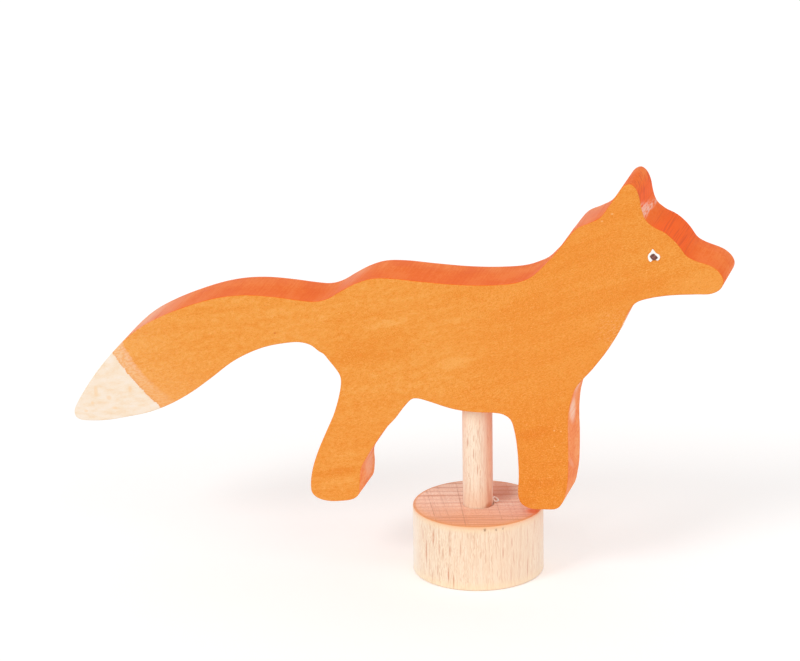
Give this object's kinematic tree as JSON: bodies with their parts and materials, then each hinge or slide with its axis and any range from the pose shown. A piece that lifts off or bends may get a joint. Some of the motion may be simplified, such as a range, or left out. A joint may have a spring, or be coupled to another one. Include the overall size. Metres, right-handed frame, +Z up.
{
  "type": "peg figure",
  "caption": "Flat wooden fox figure with a round peg under its belly, plugged into a small round stand; the fox turns about the peg and the peg lifts out of the stand.",
  "frame": {"origin": "centre of the stand's underside, on the axis of the peg", "axes": "+X from the tail to the nose, +Y through the thickness of the board, +Z up along the peg"},
  "size_m": [0.132, 0.026, 0.0839],
  "materials": {
    "stained_lime": "transparent orange water stain, tip of the tail left bare, silky",
    "beech": "untreated, sanded",
    "white_paint": "matt paint laid on by hand",
    "brown_paint": "matt paint laid on by hand"
  },
  "bodies": {
    "stand": {"stand": "beech"},
    "peg": {"peg": "beech"},
    "fox": {"fox_body": "stained_lime", "eye_whites": "white_paint", "eye_pupils": "brown_paint"}
  },
  "joints": [
    {"name": "peg_lift", "type": "slide", "parent": "stand", "child": "peg", "axis": [0, 0, 1], "range_m": [0, 0.012]},
    {"name": "fox_turn", "type": "hinge", "parent": "peg", "child": "fox", "pos_m": [0, 0, 0.035], "axis": [0, 0, 1], "continuous": true}
  ]
}
